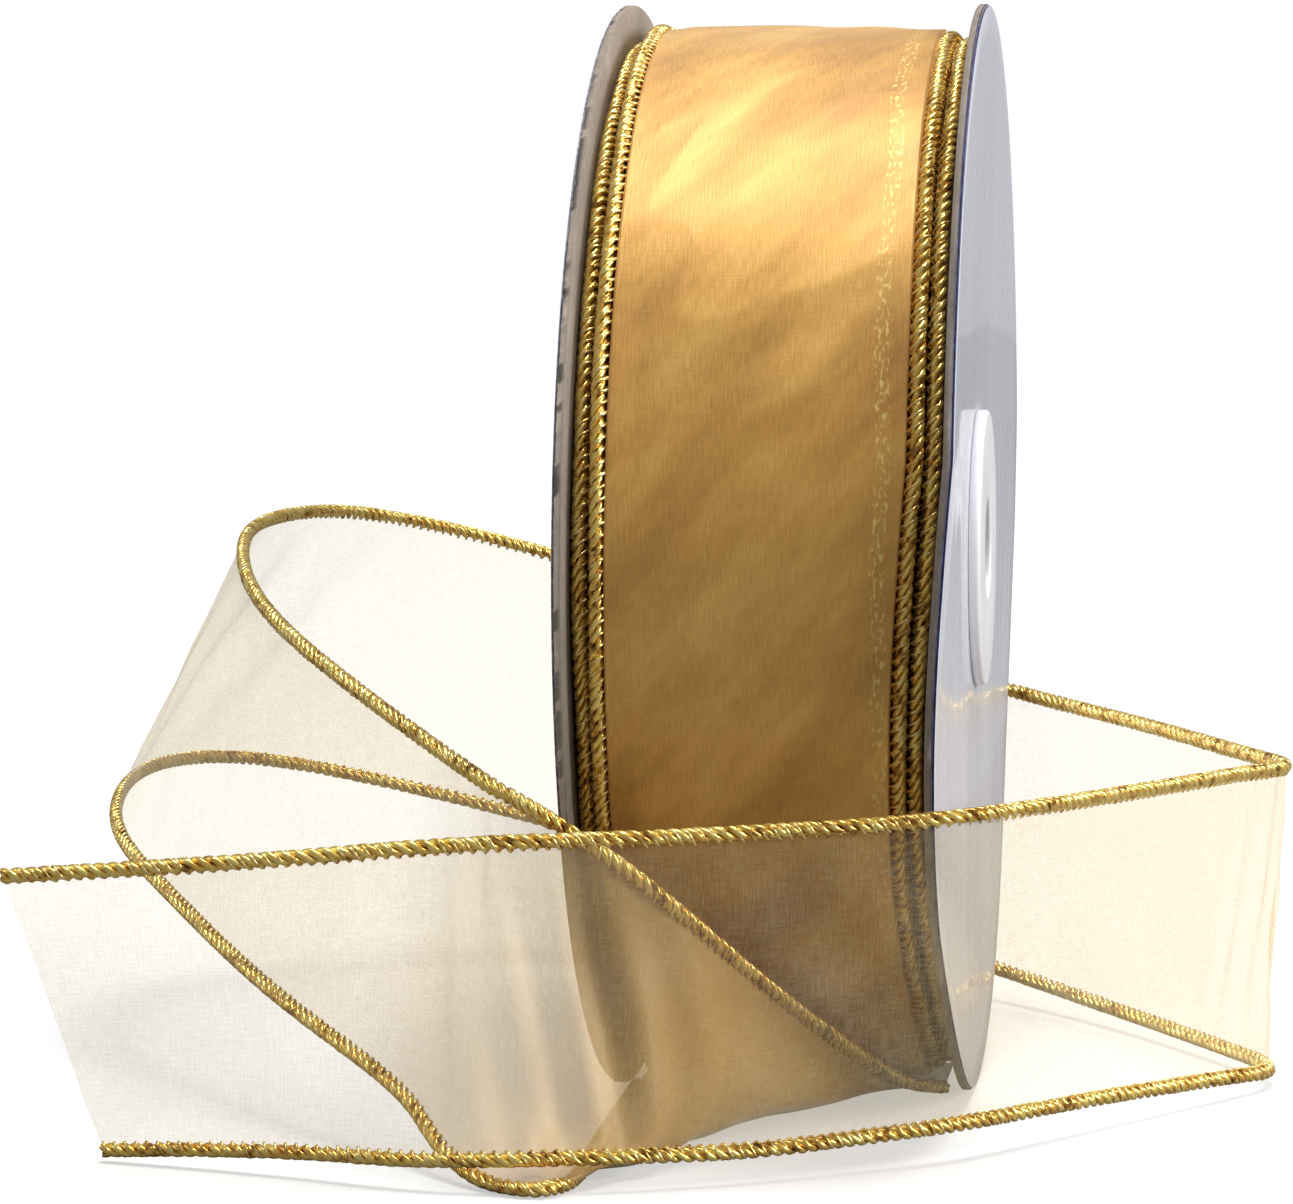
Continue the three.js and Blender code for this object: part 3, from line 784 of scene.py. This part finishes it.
x_rows = np.linspace(-WEB_HALF, WEB_HALF, ROLL_ROWS)
angles = np.linspace(0, 2 * math.pi, ROLL_SEGMENTS, endpoint=False)
seam = np.clip((angles - 2 * math.pi + SEAM_ANGLE) / SEAM_ANGLE, 0, 1)
fold_height = np.array([[slack(x, a) for a in angles] for x in x_rows])
fold_start = np.array([[slack(x, a - 2 * math.pi) if w > 0 else 0 for a, w in zip(angles, seam)]
                       for x in x_rows])
held_flat = np.clip((WEB_HALF - np.abs(x_rows)) / (3 * MM), 0.15, 1)[:, None]
fold_height = (fold_height * (1 - seam) + fold_start * seam) * held_flat
from_slack = (angles - SLACK_WHERE + math.pi) % (2 * math.pi) - math.pi
last_turn_slack = LAST_TURN_SLACK * np.exp(-(from_slack / SLACK_SPREAD) ** 2)
surface_radius = WEB_RADIUS + fold_height * (1 - last_turn_slack / (1.5 * MM)) + last_turn_slack
roll_y, roll_z = turned(surface_radius, angles[None, :])
outer = np.stack([np.broadcast_to(x_rows[:, None], roll_y.shape), roll_y, roll_z], axis=2)
inner = ring_points([(WEB_HALF, CORE_REACH), (-WEB_HALF, CORE_REACH)], ROLL_SEGMENTS)
roll_grid = np.concatenate([outer, inner])
roll_grid[:, :, 0] *= 1 - dish_at(roll_grid[:, :, 1], roll_grid[:, :, 2]) / WEB_HALF
press = np.clip((roll_grid[:, :, 0] - 6 * MM) / (10 * MM), 0, 1) ** 2
depth = np.hypot(roll_grid[:, :, 1], roll_grid[:, :, 2] - AXLE.z) / WOUND_RADIUS
roll_grid[:, :, 0] += bow(roll_grid[:, :, 1], roll_grid[:, :, 2]) * press * depth ** 3
roll_mesh = ring_mesh("wound_web_layers", roll_grid)
roll_mesh.materials.append(satin_roll())
roll = joined("wound_web_layers", [roll_mesh])
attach(roll, "spool")
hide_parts("wound_web")


# ---- Flange boards ---------------------------------------------------------------------------------
# Die-cut discs of grey chipboard. The cut edge shows its layers and has small nicks, and the right
# disc is bent in towards the roll by handling.
BOARD_INSIDE = 20.2 * MM
BOARD_OUTSIDE = 21.05 * MM
HOLE_RADIUS = 14.3 * MM
FLANGE_SEGMENTS = 360
FACE_RINGS = 14
EDGE_ROUND = 0.12 * MM


def nicked(grid, seed):
    """Roughens the rim of a board and presses a few nicks into it."""
    offset = grid[:, :, 1:] - np.array([0, AXLE.z])
    radius = np.linalg.norm(offset, axis=2)
    for row in range(grid.shape[0]):
        if radius[row].mean() < FLANGE_RADIUS - 1 * MM:
            continue
        for k in range(grid.shape[1]):
            angle = 2 * math.pi * k / grid.shape[1]
            spot = (20 * math.cos(angle), 20 * math.sin(angle), seed + row * 0.6)
            nick = max(0.0, noise.noise(spot) - 0.42) * 0.9 * MM
            dent = nick + 0.03 * MM * abs(noise.noise(spot[::-1]))
            grid[row, k, 1:] = np.array([0, AXLE.z]) + offset[row, k] * (1 - dent / radius[row, k])
    return grid


def disc_outline(inside, outside, hole, rim, soft, dark_width=0.0):
    """Outline of a flat ring with its rim's corners softened, and rings across its faces. The last
    argument is the width of a stretch of its rim that takes the dark colour of the foil's cut edge."""
    across = np.linspace(hole, rim - soft, FACE_RINGS)
    dark_band = [(outside - dark_width, rim)] if dark_width else []
    return ([(inside, r) for r in across] + [(inside + soft, rim), *dark_band, (outside - soft, rim)]
            + [(outside, r) for r in across[::-1]])


def cut_foil(side, dark, light):
    """The foil's cut edge: dark blue on the right flange, grey-blue on the left."""
    material, tree, shader = new_material(f"{side}_foil_cut_edge")
    place = add_node(tree, "ShaderNodeTexCoord").outputs["Object"]
    specks = noise_of(tree, place, 1200.0, 2)
    tree.links.new(colour_ramp(tree, specks, [(0.35, dark), (0.65, light)]),
                   shader.inputs["Base Color"])
    shader.inputs["Roughness"].default_value = 0.5
    return material


def darken_rim(mesh, material, rim, beyond):
    """Gives the rim faces that lie further out along the axle than beyond a second material."""
    mesh.materials.append(material)
    for face in mesh.polygons:
        spot = face.center - AXLE
        bent = bow(spot.y, face.center.z) if face.center.x > 0 else 0
        if math.hypot(spot.y, spot.z) > rim and abs(face.center.x - bent) > beyond:
            face.material_index = 1


def disc_grid(side, outline):
    """The outline of a flange layer, turned about the axle, dished, and on the right bent."""
    sign = 1 if side == "right" else -1
    grid = ring_points([(sign * x, r) for x, r in outline][::sign], FLANGE_SEGMENTS)
    grid[:, :, 0] -= sign * dish_at(grid[:, :, 1], grid[:, :, 2])
    if side == "right":
        hold = np.hypot(grid[:, :, 1], grid[:, :, 2] - AXLE.z)
        hold = np.clip((hold - 17 * MM) / (20 * MM), 0, 1)
        grid[:, :, 0] += bow(grid[:, :, 1], grid[:, :, 2]) * hold
    return grid


DARK_EDGE_WIDTH = {"right": 0.14 * MM, "left": 0.02 * MM}  # width of the board's rim beside the foil that takes the cut edge's dark colour
foil_edge = {"right": cut_foil("right", (0.012, 0.014, 0.06), (0.05, 0.06, 0.17)),
             "left": cut_foil("left", (0.10, 0.11, 0.20), (0.42, 0.43, 0.50))}
board_grey = chipboard("flange_board", (0.33, 0.275, 0.22), (0.20, 0.165, 0.135))
for side in ("right", "left"):
    outline = disc_outline(BOARD_INSIDE, BOARD_OUTSIDE, HOLE_RADIUS, FLANGE_RADIUS, EDGE_ROUND,
                           DARK_EDGE_WIDTH[side])
    grid = nicked(disc_grid(side, outline), 3.3 if side == "right" else 11.8)
    board_mesh = ring_mesh(f"{side}_board", grid)
    board_mesh.materials.append(board_grey)
    darken_rim(board_mesh, foil_edge[side], FLANGE_RADIUS - 0.5 * MM, BOARD_OUTSIDE - DARK_EDGE_WIDTH[side])
    board = joined(f"{side}_board", [board_mesh])
    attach(board, "spool")
    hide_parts(f"{side}_flange_board")


# ---- Flange facings --------------------------------------------------------------------------------
# Pearl-silver foil paper, laminated on the outside of each board. Its grain runs straight up, and its
# cut edge shows as a thin dark blue line round the rim.
FACING_INSIDE = 21.1 * MM
FACING_OUTSIDE = 21.3 * MM
FACING_RADIUS = 63.25 * MM


def foil_paper():
    material, tree, shader = new_material("pearl_foil")
    place = add_node(tree, "ShaderNodeTexCoord").outputs["Object"]
    grain = noise_of(tree, stretched(tree, place, (1, 1900, 24)), 1.0, 3)
    clouds = noise_of(tree, stretched(tree, place, (20, 60, 14)), 1.0, 3)
    tone = calc(tree, "ADD", calc(tree, "MULTIPLY", grain, 0.5), calc(tree, "MULTIPLY", clouds, 0.5))
    tree.links.new(colour_ramp(tree, tone, [(0.36, (0.75, 0.75, 0.83)), (0.64, (0.87, 0.87, 0.95))]),
                   shader.inputs["Base Color"])
    shader.inputs["Metallic"].default_value = 0.2
    tree.links.new(calc(tree, "MULTIPLY_ADD", grain, 0.16, 0.2), shader.inputs["Roughness"])
    shader.inputs["Coat Weight"].default_value = 0.35
    bumped(tree, shader, grain, 0.03, 0.0001)
    return material


foil = foil_paper()
for side in ("right", "left"):
    outline = disc_outline(FACING_INSIDE, FACING_OUTSIDE, HOLE_RADIUS, FACING_RADIUS, 0.03 * MM)
    facing_mesh = ring_mesh(f"{side}_facing", disc_grid(side, outline))
    facing_mesh.materials.append(foil)
    darken_rim(facing_mesh, foil_edge[side], FACING_RADIUS - 0.2 * MM, 0)
    facing = joined(f"{side}_facing", [facing_mesh])
    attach(facing, "spool")
    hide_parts(f"{side}_flange_facing")


# ---- Hubs ------------------------------------------------------------------------------------------
# White moulded plugs. A thin rim lies on the facing, a bored sleeve goes through the board into the
# core, and the rim's outer corner and the bore's mouth have a small moulding radius.
def moulded_plastic():
    material, tree, shader = new_material("white_plastic")
    place = add_node(tree, "ShaderNodeTexCoord").outputs["Object"]
    flow = noise_of(tree, place, 120.0, 3)
    tree.links.new(colour_ramp(tree, flow, [(0.3, (0.80, 0.80, 0.81)), (0.7, (0.88, 0.88, 0.89))]),
                   shader.inputs["Base Color"])
    shader.inputs["Roughness"].default_value = 0.32
    shader.inputs["Subsurface Weight"].default_value = 0.1
    shader.inputs["Subsurface Scale"].default_value = 0.002
    bumped(tree, shader, flow, 0.05, 0.0002)
    return material


def rounded_corner(x, radius, x_sign, r_sign, size, steps=5):
    """Points of a rounded outer corner, from its side face to its rim."""
    turns = np.linspace(0, math.pi / 2, steps)
    return [(x - x_sign * size * (1 - math.cos(t)), radius - r_sign * size * (1 - math.sin(t)))
            for t in turns]


plastic = moulded_plastic()
RIM_INSIDE, RIM_OUTSIDE, RIM_RADIUS = 20.05 * MM, 21.35 * MM, 16.2 * MM
SLEEVE_END, SLEEVE_RADIUS, BORE_RADIUS = 10.75 * MM, 13.9 * MM, 5.8 * MM
HUB_SEGMENTS = 144
for side, sign in (("right", 1), ("left", -1)):
    rim = rounded_corner(RIM_OUTSIDE, RIM_RADIUS, 1, 1, 0.45 * MM)[::-1]
    mouth = rounded_corner(RIM_OUTSIDE, BORE_RADIUS, 1, -1, 0.35 * MM)
    outline = ([(SLEEVE_END, BORE_RADIUS), (SLEEVE_END, SLEEVE_RADIUS), (RIM_INSIDE, SLEEVE_RADIUS),
                (RIM_INSIDE, RIM_RADIUS)] + rim + [(RIM_OUTSIDE, 11 * MM)] + mouth)
    hub_mesh = ring_mesh(f"{side}_moulded_hub",
                         ring_points([(sign * x, r) for x, r in outline][::sign], HUB_SEGMENTS))
    hub_mesh.materials.append(plastic)
    hub = joined(f"{side}_moulded_hub", [hub_mesh])
    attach(hub, "spool")
    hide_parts(f"{side}_hub")


# ---- Bounds of the shown pieces --------------------------------------------------------------------
low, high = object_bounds()
